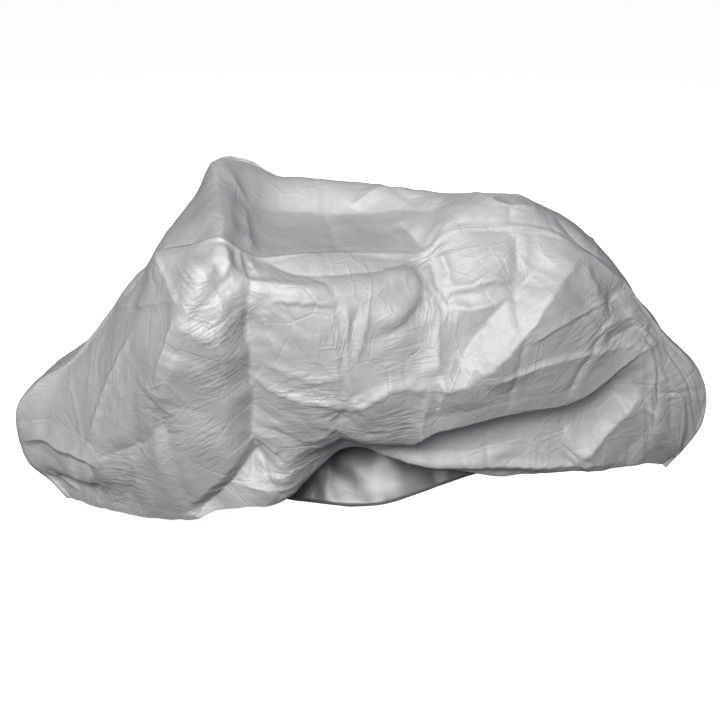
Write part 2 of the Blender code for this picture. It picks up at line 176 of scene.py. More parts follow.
# From the front hem up the nose, over handlebar and saddle, and down the tail.
STRIP = [Section(*row) for row in metres((
    (-823, -160, 113, -60, 120, 30, 120, -815, 110, 110, -30),
    (-868, -155, 172, -60, 175, 30, 175, -860, 110, 170, -20),
    (-916, -150, 217, -60, 225, 30, 225, -900, 110, 220, -15),
    (-936, -150, 331, -60, 325, 30, 320, -915, 100, 320, -5),
    (-920, -150, 411, -60, 405, 30, 395, -900, 100, 390, 0),
    (-861, -150, 474, -60, 465, 30, 455, -845, 100, 445, 0),
    (-784, -155, 526, -60, 515, 30, 505, -775, 100, 495, 0),
    (-709, -165, 606, -60, 590, 30, 575, -705, 100, 565, 0),
    (-647, -180, 680, -80, 660, 30, 640, -645, 100, 625, 0),
    (-588, -214, 757, -100, 730, 30, 700, -595, 100, 675, 0),
    (-526, -250, 834, -120, 800, 20, 765, -545, 110, 730, 0),
    (-471, -290, 894, -150, 895, 10, 860, -500, 120, 800, 0),
    (-406, -330, 920, -160, 935, 20, 932, -455, 130, 870, 0),
    (-316, -380, 954, -140, 978, 80, 1020, -360, 140, 1008, 0),
    (-280, -362, 920, -80, 945, 90, 1006, -290, 140, 995, 0),
    (-247, -330, 893, -50, 922, 80, 986, -245, 130, 970, 0),
    (-130, -280, 883, -30, 908, 70, 975, -130, 110, 945, 0),
    (0, -250, 875, -40, 910, 50, 968, 0, 100, 920, 0),
    (100, -220, 859, -50, 918, 30, 966, 100, 90, 890, 0),
    (152, -195, 852, -70, 930, 10, 962, 150, 80, 870, 0),
    (205, -180, 897, -100, 948, -30, 965, 205, 60, 850, 0),
    (313, -165, 913, -130, 952, -50, 970, 313, 50, 830, 0),
    (398, -165, 913, -120, 950, -50, 965, 398, 50, 820, 0),
    (487, -160, 894, -110, 922, -50, 932, 487, 50, 800, 0),
    (560, -150, 851, -100, 878, -40, 882, 565, 60, 780, 0),
    (686, -120, 753, -80, 758, 0, 745, 680, 70, 690, 0),
    (752, -100, 667, -40, 668, 30, 655, 750, 90, 620, 0),
    (829, -80, 574, -20, 572, 50, 560, 825, 110, 545, 5),
    (885, -70, 516, -10, 514, 60, 505, 880, 120, 495, 5),
    (960, -60, 408, 0, 405, 70, 400, 950, 130, 395, 3),
    (962, -60, 291, 0, 290, 70, 285, 950, 130, 285, 5),
    (930, -50, 218, 10, 218, 70, 215, 920, 130, 215, 5),
    (885, -40, 142, 20, 140, 80, 140, 870, 130, 140, 10),
))]

# One rib for each section from behind the front knee to before the rear one.
NEAR = [NearRib(*row) for row in metres((
    (-165, 445, -202, 350, -218, 225, -185, 200, -765, -195, 119, 0),
    (-182, 500, -238, 380, -248, 225, -220, 200, -725, -222, 123, 0),
    (-200, 575, -280, 420, -272, 235, -252, 205, -685, -243, 127, 0),
    (-222, 640, -313, 450, -292, 250, -278, 215, -645, -262, 131, 0),
    (-255, 705, -331, 480, -305, 262, -293, 225, -610, -276, 134, -20),
    (-290, 775, -349, 510, -320, 275, -310, 232, -575, -288, 138, -40),
    (-335, 830, -363, 530, -334, 288, -325, 240, -535, -302, 145, -60),
    (-385, 855, -384, 535, -352, 300, -343, 250, -493, -317, 149, -90),
    (-460, 884, -412, 535, -375, 310, -362, 260, -447, -332, 152, -110),
    (-450, 868, -422, 530, -385, 330, -370, 270, -370, -352, 180, -70),
    (-420, 855, -405, 520, -380, 345, -368, 280, -300, -360, 205, 0),
    (-385, 848, -400, 515, -375, 365, -358, 290, -205, -330, 210, 0),
    (-330, 845, -375, 505, -320, 380, -245, 355, -45, -210, 303, 0),
    (-280, 838, -360, 505, -305, 375, -220, 350, 90, -190, 275, 0),
    (-240, 825, -350, 505, -298, 385, -215, 355, 160, -185, 242, 0),
    (-215, 850, -345, 510, -292, 400, -210, 365, 220, -178, 226, 0),
    (-215, 860, -330, 540, -280, 425, -205, 385, 309, -170, 207, 0),
    (-210, 860, -315, 610, -262, 438, -200, 395, 389, -160, 185, 0),
    (-210, 840, -285, 690, -242, 445, -190, 405, 470, -155, 190, 0),
    (-195, 800, -235, 700, -218, 455, -175, 410, 558, -145, 195, 0),
    (-140, 700, -160, 620, -165, 520, -140, 470, 690, -125, 193, 0),
    (-115, 630, -130, 590, -145, 560, -135, 500, 760, -105, 188, 0),
    (-95, 545, -120, 470, -130, 390, -125, 320, 823, -80, 182, 0),
    (-85, 490, -100, 430, -105, 350, -100, 280, 855, -60, 165, 0),
))]

FAR = [FarRib(section, *metres(row)) for section, *row in (
    (7, 130, 480, 140, 250, -680, 100, 90),
    (11, 150, 720, 170, 350, -480, 60, 50),
    (13, 175, 950, 185, 400, -330, 20, 30),
    (16, 150, 850, 170, 380, -150, -35, 22),
    (18, 130, 800, 160, 360, 60, -50, 22),
    (21, 90, 740, 150, 380, 280, 5, 72),
    (23, 90, 720, 145, 400, 480, 50, 110),
    (25, 110, 620, 145, 380, 680, 90, 130),
    (27, 140, 480, 155, 320, 800, 120, 140),
)]

# Folds of the near side, by x and z.
NEAR_FOLDS = folds(
    # nose, from the handlebar's grip to the front hem
    (SHARP, -14, 80, (-290, 890), (-345, 830), (-395, 770)),
    (SHARP, 12, 95, (-425, 700), (-445, 650), (-490, 540)),
    (SOFT, -6, 90, (-560, 770), (-430, 790), (-320, 825)),
    (SHARP, -12, 40, (-490, 540), (-465, 320), (-445, 170)),
    (SHARP, 8, 18, (-550, 705), (-640, 525), (-725, 320)),
    (SHARP, 7, 15, (-430, 790), (-485, 605)),
    (SHARP, 2, 12, (-770, 520), (-720, 340)),
    (LIP, 16, 60, (-925, 295), (-850, 320), (-805, 315), (-725, 315), (-680, 295)),
    (SHARP, 7, 18, (-855, 210), (-815, 175), (-775, 155)),
    (SHARP, -5, 20, (-725, 310), (-705, 240), (-715, 145)),
    (SHARP, -10, 44, (-680, 325), (-525, 430), (-485, 530)),
    (LIP, 8, 50, (-625, 705), (-560, 750), (-500, 785), (-420, 835)),
    (LIP, 6, 40, (-420, 825), (-450, 860), (-480, 890)),
    (SOFT, 13, 60, (-500, 850), (-440, 885), (-380, 900), (-330, 905), (-290, 900)),
    (SHARP, 9, 30, (-315, 945), (-300, 880)),
    (SOFT, -8, 36, (-370, 930), (-330, 910), (-315, 885)),
    # middle, from grip to saddle
    (LIP, -38, 210, (-250, 860), (-255, 750), (-260, 575), (-275, 265)),
    (SHARP, -12, 50, (-275, 280), (-260, 575), (-255, 750), (-250, 835)),
    (SHARP, -8, 24, (-265, 900), (-250, 855), (-250, 825)),
    (SHARP, 6, 26, (-225, 795), (-215, 740), (-195, 665)),
    (SHARP, -17, 60, (-250, 885), (-140, 865), (-25, 855), (100, 850), (160, 845)),
    (SOFT, 8, 34, (-290, 870), (-250, 855), (-140, 835), (-65, 830)),
    (LIP, 8, 26, (-205, 820), (-140, 810), (-55, 795)),
    (SHARP, -3, 14, (-190, 805), (-130, 745), (-100, 720)),
    (SHARP, -4, 16, (-130, 865), (-75, 840), (-60, 810)),
    (SHARP, -5, 15, (-60, 810), (-50, 770), (-45, 680), (-40, 550)),
    (SHARP, 4, 13, (-35, 795), (-30, 730), (-35, 615)),
    (SHARP, -5, 15, (-5, 790), (-20, 715), (-30, 635)),
    (SHARP, 5, 15, (15, 790), (10, 725), (-5, 675), (-20, 645)),
    (SOFT, 10, 44, (60, 845), (115, 825), (135, 790), (115, 765), (35, 745)),
    (SHARP, -6, 30, (145, 825), (150, 765), (105, 725), (10, 690)),
    (SHARP, 5, 16, (-235, 640), (-180, 620), (-95, 605), (-40, 620)),
    (LIP, 9, 50, (-35, 520), (-75, 535), (-145, 545), (-215, 570), (-260, 595)),
    (SHARP, -12, 46, (-35, 515), (-55, 455), (-30, 325)),
    (SHARP, -6, 30, (-260, 450), (-150, 400), (-110, 270)),
    (SHARP, 5, 30, (-220, 460), (-125, 400), (-35, 475)),
    (LIP, 13, 80, (195, 555), (150, 560), (85, 575), (25, 545), (-35, 515)),
    (LIP, 17, 90, (285, 570), (235, 555), (195, 555)),
    (SHARP, 8, 34, (175, 545), (160, 475), (150, 325)),
    (LIP, -40, 110, (-235, 385), (-335, 275), (-430, 165)),
    (SHARP, -8, 22, (-250, 365), (-235, 300), (-200, 230)),
    (SHARP, -6, 20, (-195, 375), (-225, 300)),
    # saddle and tail
    (SHARP, -8, 30, (165, 855), (185, 820), (190, 780)),
    (SHARP, 7, 24, (190, 860), (215, 825), (210, 790)),
    (LIP, 12, 46, (195, 780), (245, 785), (320, 800), (380, 805)),
    (LIP, 13, 70, (390, 775), (345, 760), (270, 740), (210, 750)),
    (SHARP, 14, 56, (195, 745), (190, 660), (190, 585)),
    (SHARP, -7, 24, (385, 900), (385, 815)),
    (SHARP, -7, 24, (385, 780), (395, 700), (405, 685)),
    (SHARP, -4, 16, (405, 685), (390, 575), (380, 465)),
    (SHARP, 23, 95, (560, 845), (510, 805), (455, 745), (410, 685), (355, 630), (275, 565)),
    (SHARP, -20, 62, (460, 845), (395, 790), (320, 715), (265, 650), (250, 590)),
    (SHARP, 6, 30, (555, 815), (600, 740)),
    (LIP, 5, 24, (420, 660), (495, 695), (610, 715)),
    (SHARP, -6, 24, (610, 640), (590, 590), (550, 515), (540, 480)),
    (LIP, 7, 50, (740, 580), (620, 590), (505, 595), (385, 575), (295, 560)),
    (LIP, 12, 50, (-25, 325), (65, 315), (165, 410), (310, 440), (420, 450), (535, 455),
     (630, 490), (740, 565), (805, 575)),
    (SHARP, -3, 14, (340, 365), (350, 210)),
    (SHARP, -5, 20, (540, 425), (570, 225)),
    (SHARP, 7, 40, (740, 575), (765, 425), (800, 200)),
    (SOFT, 8, 34, (20, 300), (165, 265), (330, 260), (440, 290)),
    (SHARP, 30, 100, (585, 230), (660, 305), (765, 425)),
    (SHARP, 10, 40, (560, 845), (620, 795), (685, 745)),
    (SHARP, -9, 36, (675, 740), (640, 710), (755, 625)),
    (SHARP, -8, 30, (630, 605), (735, 625), (810, 580)),
    (SHARP, 8, 30, (615, 650), (705, 655), (770, 605)),
    (SHARP, -3, 12, (770, 435), (950, 405)),
    (SHARP, -6, 40, (775, 570), (835, 465), (875, 265)),
    (SOFT, 7, 30, (120, 265), (315, 240), (455, 225), (640, 200)),
    (LIP, 22, 130, (35, 300), (190, 250), (385, 235), (555, 225), (745, 215)),
)

# Folds of the strip, by x and y.
STRIP_FOLDS = folds(
    (SHARP, 17, 70, (-390, 100), (-350, -140), (-316, -380)),
    (SHARP, -7, 60, (-269, -61), (-182, -27), (-88, -31), (0, -34), (103, -42), (202, -98),
     (266, -82)),
    (SHARP, -6, 24, (-90, 60), (-91, -14), (-74, -117), (-53, -249)),
    (SHARP, 7, 28, (74, 27), (-26, -18)),
    (SHARP, -4, 16, (87, 22), (142, -48)),
    (SHARP, 9, 30, (-295, -105), (-273, -218), (-258, -315)),
    (SHARP, 7, 28, (-372, 10), (-292, -82)),
    (SHARP, -8, 30, (102, -93), (162, -187)),
    (SHARP, -4, 14, (200, -151), (164, -181)),
    (SHARP, -4, 14, (379, -98), (378, -163)),
    (SHARP, 7, 28, (281, -56), (351, -120), (454, -111)),
    (SHARP, -8, 34, (497, -91), (549, -136), (613, -132)),
    (SHARP, -3, 14, (-560, 110), (-560, -220)),
    (SHARP, -3, 14, (-790, 100), (-790, -150)),
    (SHARP, 3, 14, (610, 60), (610, -130)),
    (SHARP, -3, 14, (830, 110), (830, -80)),
)

# Folds of the far side, by x and z: the creases of its packing, and plain hanging ones.
FAR_FOLDS = folds(
    (SHARP, -4, 16, (-560, 640), (-560, 120)),
    (SHARP, 4, 16, (-325, 960), (-325, 80)),
    (SHARP, -4, 16, (-90, 900), (-90, 60)),
    (SHARP, 4, 16, (145, 840), (145, 70)),
    (SHARP, -4, 16, (380, 790), (380, 120)),
    (SHARP, 4, 16, (615, 700), (615, 150)),
    (SHARP, -3, 16, (-750, 330), (-300, 335), (300, 330), (880, 330)),
    (SHARP, 3, 16, (-650, 565), (-300, 570), (300, 570), (780, 565)),
    (SHARP, -3, 16, (-420, 800), (0, 805), (330, 800)),
    (LIP, 14, 70, (-340, 930), (-420, 700), (-560, 420), (-640, 180)),
    (SOFT, 16, 90, (-330, 900), (-260, 600), (-240, 120)),
    (SOFT, -14, 70, (-150, 780), (-130, 450), (-120, 100)),
    (LIP, 12, 80, (-280, 880), (-80, 680), (160, 560)),
    (SOFT, 14, 80, (280, 780), (230, 500), (240, 130)),
    (SOFT, -12, 70, (40, 700), (80, 400), (80, 100)),
    (LIP, 14, 80, (620, 200), (480, 440), (330, 740)),
    (SOFT, -10, 60, (560, 700), (620, 440), (700, 200)),
    (SHARP, 8, 50, (-900, 330), (-700, 300), (-480, 340)),
    (SHARP, 8, 50, (900, 420), (700, 360), (500, 400)),
)

NEAR_PINCHES = [Pinch(*row) for row in (
    (-262, 880, 75, 7.0, 9),
    (172, 850, 90, 8.0, 9),
    (190, 775, 80, 6.0, 8),
    (-45, 520, 130, 4.0, 9),
    (-258, 590, 80, 4.0, 7),
    (400, 686, 60, 4.0, 7),
    (640, 712, 70, 4.0, 7),
    (-300, 872, 80, 2.5, 8),
)]

NEAR_CRUMPLES = [Crumple(*row) for row in (
    (-330, 780, 130, 35, 17, 90, 3.2),
    (-340, 640, 130, 35, 19, 90, 2.4),
    (-390, 875, 100, -30, 15, 70, 1.6),
    (-420, 450, 160, 20, 26, 120, 1.0),
    (-120, 560, 170, 5, 18, 110, 0.8),
    (-50, 700, 110, 88, 16, 120, 1.2),
    (110, 640, 130, 15, 22, 100, 1.1),
    (190, 730, 100, 70, 14, 60, 1.5),
    (310, 840, 110, 20, 20, 70, 1.5),
    (620, 650, 160, 25, 18, 100, 1.7),
    (740, 600, 100, 30, 16, 70, 1.5),
    (-150, 330, 150, -20, 20, 90, 1.0),
    (80, 440, 150, 8, 20, 120, 1.0),
    (-620, 260, 170, 5, 22, 110, 1.1),
    (-640, 560, 200, 62, 24, 160, 0.8),
    (860, 430, 130, 20, 22, 110, 0.9),
)]


def spline(knots: Array, values: Array, t: Array) -> Array:
    """A smooth curve through rows of values at their knots.

    Args:
        knots: where each row of values belongs, rising.
        values: one row for each knot.
        t: places on the curve.

    Returns:
        The rows at the places t.
    """
    steps = np.diff(knots)[:, None]
    slopes = np.diff(values, axis=0) / steps
    tangents = np.empty_like(values)
    tangents[0], tangents[-1] = slopes[0], slopes[-1]
    tangents[1:-1] = (slopes[:-1] * steps[1:] + slopes[1:] * steps[:-1]) / (steps[:-1] + steps[1:])
    i = np.clip(np.searchsorted(knots, t, side="right") - 1, 0, len(knots) - 2)
    h = steps[i]
    f = ((t - knots[i])[:, None]) / h
    return ((2 * f**3 - 3 * f**2 + 1) * values[i] + (f**3 - 2 * f**2 + f) * h * tangents[i]
            + (3 * f**2 - 2 * f**3) * values[i + 1] + (f**3 - f**2) * h * tangents[i + 1])


def chord_knots(points: Array) -> Array:
    """Knots for a curve through the points, spaced by their distances."""
    return np.concatenate(([0.0], np.cumsum(np.linalg.norm(np.diff(points, axis=0), axis=1))))


def run_along(grid: Array, axis: int) -> Array:
    """Distance over the film of each point of a grid from its first row or column."""
    steps = np.diff(grid, axis=axis, prepend=np.take(grid, [0], axis=axis))
    return np.cumsum(np.linalg.norm(steps, axis=2), axis=axis)


def down_rib(courses: Array, rows: Sequence[int]) -> Array:
    """Points along a rib through its courses.

    Args:
        courses: one point for each course.
        rows: how many steps lie between two courses.

    Returns:
        The points from the first course to the last.
    """
    knots = chord_knots(courses)
    t = [knots[0]]
    for k, steps in enumerate(rows):
        t.extend(np.linspace(knots[k], knots[k + 1], steps + 1)[1:])
    return spline(knots, courses, np.array(t))


def section_courses(s: Section) -> Array:
    """The near seam, valley, crown and far seam of one section across the strip."""
    across = (s.far_x - s.x) / (s.far_y - s.y)
    between = [(s.x + across * (y - s.y) + s.lead, y, z)
               for y, z in ((s.valley_y, s.valley_z), (s.crown_y, s.crown_z))]
    return np.array(((s.x, s.y, s.z), *between, (s.far_x, s.far_y, s.far_z)))


def normals_of(grid: Array) -> Array:
    """Unit normals of a grid of points, from its rows crossed with its columns."""
    normals = np.cross(np.gradient(grid, axis=0), np.gradient(grid, axis=1))
    return normals / np.maximum(np.linalg.norm(normals, axis=2, keepdims=True), TINY)


def smooth(t: Array) -> Array:
    """Rises softly from 0 to 1 as t does, and stays there beyond."""
    t = np.clip(t, 0.0, 1.0)
    return t * t * (3 - 2 * t)


def scattered(cells: Iterable[Array], count: int, shift: int) -> Array:
    """A number for each cell of space that looks drawn at random.

    Args:
        cells: the cells' numbers along each axis.
        count: how many numbers there are, a power of two.
        shift: how many binary places the high ones are brought down by.

    Returns:
        Whole numbers from 0 to below count.
    """
    mixed = np.bitwise_xor.reduce([cell * factor for cell, factor in zip(cells, HASH)])
    return (mixed ^ mixed >> shift) & (count - 1)


def noise(points: Array, seed: int, often: float = 1.0) -> Array:
    """Smooth lumps all over space.

    Args:
        points: places, with x, y and z last.
        seed: which set of lumps.
        often: how many lumps there are to a unit of space.

    Returns:
        A number between about -1 and 1 for each place.
    """
    count, to_full_height = 256, 1.6
    gradients = np.random.default_rng(seed).normal(size=(count, 3))
    gradients /= np.linalg.norm(gradients, axis=1, keepdims=True)
    points = points * often
    cell = np.floor(points).astype(np.int64)
    inside = points - cell
    fade = inside**3 * (inside * (inside * 6 - 15) + 10)
    total = np.zeros(points.shape[:-1])
    for corner in itertools.product((0, 1), repeat=3):
        at = scattered(np.moveaxis(cell + corner, -1, 0), count, shift=9)
        share = np.where(np.array(corner) == 1, fade, 1 - fade).prod(axis=-1)
        total += share * (gradients[at] * (inside - corner)).sum(axis=-1)
    return total * to_full_height


def varied(middle: Array | float, swing: float, points: Array, seed: int, often: float) -> Array:
    """Numbers around a middle one, which noise makes larger and smaller by a swing."""
    return middle + swing * noise(points, seed, often)


def patches(points: Array, seed: int, often: float, below: float, edge: float) -> Array:
    """1 inside and 0 outside of soft-edged patches of space.

    Args:
        points: places, with x, y and z last.
        seed: which set of lumps.
        often: how many lumps there are to a unit of space.
        below: how far below 0 the lumps still count as a patch.
        edge: how wide its edge is.

    Returns:
        A number between 0 and 1 for each place.
    """
    return smooth((noise(points, seed, often) + below) / edge)


def facets(u: Array, v: Array, size: float, seed: int) -> Array:
    """Flat-sided dents with straight creases between them, as crumpled film has.

    Args:
        u: place along the cloth, in metres.
        v: place down the cloth.
        size: width of one dent.
        seed: which set of dents.

    Returns:
        A number between -1 and 1 for each place.
    """
    bend, bends = 0.30, 0.7      # how far rows of dents stray from straight ones, and how often
    count, apart = 4096, 9.5     # of heights, and how far the noise of v lies from that of u
    spots = np.stack((u, v, np.zeros_like(u)), axis=-1) / size
    u = u / size + bend * noise(spots * bends, seed + 1)
    v = v / size + bend * noise(spots * bends + apart, seed + 2)
    lean = v / math.sqrt(3)
    a, b = u - lean, 2 * lean
    i, j = np.floor(a).astype(np.int64), np.floor(b).astype(np.int64)
    f, g = a - i, b - j
    heights = np.random.default_rng(seed).uniform(-1, 1, count)

    def at(p: Array, q: Array) -> Array:
        """Height of one corner of the lattice."""
        return heights[scattered((p, q), count, shift=7)]

    low = f + g < 1
    corner = np.where(low, at(i, j), at(i + 1, j + 1))
    right = np.where(low, at(i + 1, j), at(i, j + 1))
    top = np.where(low, at(i, j + 1), at(i + 1, j))
    s, t = np.where(low, f, 1 - f), np.where(low, g, 1 - g)
    return corner + (right - corner) * s + (top - corner) * t


@dataclass
class Elevation:
    """A panel's grid seen on two of its axes, on which folds are placed."""
    grid: Array
    outward: Array
    axes: tuple[int, int]
    nearest: tuple[int, float]      # the axis across the elevation, and which way is outward
    step: float = 0.012             # from one point of a laid line to the next
    pull: float = 0.02              # how much a point further outward is taken for nearer
    steep: float = 3.0              # how many times steeper a lip drops off than it rises
    tip: float = 0.35               # share of a fold's height in its narrow tip
    taper: float = 0.2              # share of its line over which each end rises
    blunt: float = 0.6              # how an end rises: straight with 1, and sooner below it

    def lift(self, line: Sequence[tuple[float, float]]) -> Array:
        """A smooth line through points of the elevation, laid on the panel."""
        points = metres(line)
        knots = chord_knots(points)
        count = max(2, math.ceil(knots[-1] / self.step))
        places = spline(knots, points, np.linspace(0, knots[-1], count + 1))
        return np.array([self.place(u, v) for u, v in places])

    def place(self, u: float, v: float) -> Array:
        """The panel's outermost point at a place of the elevation."""
        flat = self.grid.reshape(-1, 3)
        axis, sign = self.nearest
        off = np.hypot(flat[:, self.axes[0]] - u, flat[:, self.axes[1]] - v)
        return flat[np.argmin(off - self.pull * sign * flat[:, axis])]

    def around(self, spot: Pinch | Crumple) -> tuple[Array, Array, Array]:
        """Each point's offsets from a spot on both axes, and its distance in reaches."""
        u, v, reach = metres(spot[:3])
        off = self.grid - self.place(u, v)
        return off[..., self.axes[0]], off[..., self.axes[1]], np.linalg.norm(off, axis=2) / reach

    def fold(self, fold: Fold) -> Array:
        """How far one fold pushes each point of the panel outward."""
        line = self.lift(fold.line)
        width = fold.width * MM
        flat = self.grid.reshape(-1, 3)
        height = np.zeros(len(flat))
        near = np.all((flat > line.min(axis=0) - width) & (flat < line.max(axis=0) + width), axis=1)
        points = flat[near]
        start, step = line[:-1], np.diff(line, axis=0)
        length2 = np.maximum((step**2).sum(axis=1), TINY)
        rel = points[:, None] - start[None]
        along = np.clip((rel * step).sum(axis=2) / length2, 0, 1)
        gap = rel - along[..., None] * step
        nearest = (gap**2).sum(axis=2).argmin(axis=1)
        pick = np.arange(len(points))
        gap, along = gap[pick, nearest], along[pick, nearest]
        left = np.cross(self.outward.reshape(-1, 3)[near], step[nearest])
        across = np.linalg.norm(gap, axis=1) / width
        if fold.kind is LIP:
            across = np.where((gap * left).sum(axis=1) < 0, across * self.steep, across)
        flank = np.clip(1 - across, 0, 1)
        shape = (1 - self.tip) * flank + self.tip * flank**3
        if fold.kind is SOFT:
            shape = 0.5 + 0.5 * np.cos(math.pi * np.clip(across, 0, 1))
        share = (nearest + along) / len(step)
        ends = np.clip(np.minimum(share, 1 - share) / self.taper, 0, 1)**self.blunt
        height[near] = fold.height * MM * shape * ends
        return height.reshape(self.grid.shape[:2])

    def pinch(self, pinch: Pinch) -> Array:
        """How far one pinch pushes each point of the panel outward."""
        u, v, out = self.around(pinch)
        turn = varied(np.arctan2(v, u), 0.8, self.grid, Seed.PINCH_TURN, often=11)
        wave = 1 - 2 * np.abs(np.sin(turn * pinch.spokes / 2))
        uneven = varied(0.6, 0.6, self.grid, Seed.PINCH_HEIGHT, often=17)
        flat_middle = np.clip(out * 3, 0, 1)
        return pinch.height * MM * wave * uneven * flat_middle * smooth(1 - out)**1.5

    def crumple(self, patch: Crumple, seed: int) -> Array:
        """How far one patch of wrinkles pushes each point of the panel outward."""
        u, v, out = self.around(patch)
        turn, sharpness = math.radians(patch.turn), 2.6
        along = u * math.cos(turn) + v * math.sin(turn)
        across = v * math.cos(turn) - u * math.sin(turn)
        spots = np.stack((along / (patch.along * MM), across / (patch.across * MM),
                          np.zeros_like(u)), axis=-1)
        ridges = 1 - sharpness * np.abs(noise(spots, seed))
        return patch.height * MM * ridges * smooth(1 - out)


def operator(operation: str, swap: bool = False) -> Callable:
    """A method of Signal that makes a Math node.

    Args:
        operation: the node's operation.
        swap: whether the other side comes first, as where a number stands before a signal.

    Returns:
        The method.
    """
    def method(self: "Signal", other: "Signal | float") -> "Signal":
        """The node's result for this signal and the other side."""
        return self.shader.maths(operation, *((other, self) if swap else (self, other)))
    return method


class Signal:
    """A socket of a shader, with Python's operators for its maths."""

    def __init__(self, shader: "Shader", socket: bpy.types.NodeSocket) -> None:
        """Wraps a socket of one shader."""
        self.shader = shader
        self.socket = socket

    __add__, __radd__ = operator("ADD"), operator("ADD", swap=True)
    __sub__, __rsub__ = operator("SUBTRACT"), operator("SUBTRACT", swap=True)
    __mul__, __rmul__ = operator("MULTIPLY"), operator("MULTIPLY", swap=True)
    __truediv__, __rtruediv__ = operator("DIVIDE"), operator("DIVIDE", swap=True)


class Shader:
    """The node tree of a material or world, around its surface's own node."""

    def __init__(self, owner: bpy.types.Material | bpy.types.World,
                 surface: str = "Principled BSDF") -> None:
        """Switches on the owner's nodes, and keeps the one that stands for its surface."""
        owner.use_nodes = True
        self.tree = owner.node_tree
        self.surface = self.tree.nodes[surface]

    def node(self, kind: str, settings: dict[str, object] | None = None,
             **inputs: object) -> bpy.types.Node:
        """Makes any node.

        Args:
            kind: the node's type, without its ShaderNode prefix.
            settings: its own settings, which are set first.
            **inputs: values or links of its sockets, by their names in small letters.

        Returns:
            The node.
        """
        node = self.tree.nodes.new("ShaderNode" + kind)
        for key, value in (settings or {}).items():
            setattr(node, key, value)
        for key, value in inputs.items():
            self.feed(self.socket(node, key), value)
        return node

    @staticmethod
    def socket(node: bpy.types.Node, key: str) -> bpy.types.NodeSocket:
        """A node's enabled input by its name in small letters, or by in and its number."""
        if key.startswith("in_"):
            return node.inputs[int(key[3:])]
        wanted = key.replace("_", " ")
        return next(s for s in node.inputs if s.enabled and s.name.lower() == wanted)

    def feed(self, socket: bpy.types.NodeSocket, value: object) -> None:
        """Links a signal to a socket, or sets the socket to a value."""
        if isinstance(value, Signal):
            self.tree.links.new(value.socket, socket)
        else:
            socket.default_value = value

    def dress(self, **inputs: object) -> None:
        """Sets or links the surface's inputs, by their names in small letters."""
        for key, value in inputs.items():
            self.feed(self.socket(self.surface, key), value)

    def out(self, node: bpy.types.Node, name: str | int = 0) -> Signal:
        """One output of a node as a signal."""
        return Signal(self, node.outputs[name])

    def maths(self, operation: str, a: "Signal | float", b: "Signal | float" = 0.0) -> Signal:
        """A Math node on two numbers or signals."""
        return self.out(self.node("Math", {"operation": operation}, in_0=a, in_1=b))

    def clamped(self, value: Signal) -> Signal:
        """A signal kept between 0 and 1."""
        settings = {"operation": "MULTIPLY", "use_clamp": True}
        return self.out(self.node("Math", settings, in_0=value, in_1=1.0))

    def attribute(self, name: str) -> Signal:
        """A number that the mesh holds at each of its points."""
        return self.out(self.node("Attribute", {"attribute_name": name}), "Fac")

    def noise(self, scale: float, detail: float = 2.0, rough: float = 0.5) -> Signal:
        """Cloudy noise over the object's own space."""
        return self.out(self.node("TexNoise", {}, vector=self.place, scale=scale, detail=detail,
                                  roughness=rough), "Fac")

    @property
    def place(self) -> Signal:
        """Places in the object's own space."""
        return self.out(self.node("TexCoord"), "Object")

    def wrinkles(self, turn: float, along: float, across: float) -> Signal:
        """Long ridges on the sides, which rise towards the tail by an angle in degrees."""
        sharpness, middle = 6.0, 0.5
        node = self.node("Mapping", {"vector_type": "TEXTURE"}, vector=self.place,
                         rotation=(0.0, -math.radians(turn), 0.0), scale=(along, along, across))
        cloud = self.node("TexNoise", {}, vector=self.out(node), scale=1.0, detail=2.0,
                          roughness=0.55, distortion=0.3)
        off = self.maths("ABSOLUTE", self.out(cloud, "Fac") - middle)
        return self.clamped(1 - off * sharpness)

    def blend(self, factor: Signal, a: object, b: object) -> Signal:
        """A colour between two others."""
        node = self.node("Mix", {"data_type": "RGBA"}, in_0=factor, in_6=a, in_7=b)
        return self.out(node, 2)

    def tones(self, factor: Signal, colour: Sequence[float], dark: float) -> Signal:
        """A colour, and where the factor is low its share dark of it."""
        return self.blend(factor, (*[c * dark for c in colour], 1), (*colour, 1))

    def bump(self, height: Signal, distance: float, strength: float) -> Signal:
        """The normal tilted by a relief.

        Args:
            height: how high the surface stands.
            distance: how high 1 is, in metres.
            strength: how much of it shows.

        Returns:
            The tilted normal.
        """
        return self.out(self.node("Bump", {}, height=height, distance=distance,
                                  strength=strength))


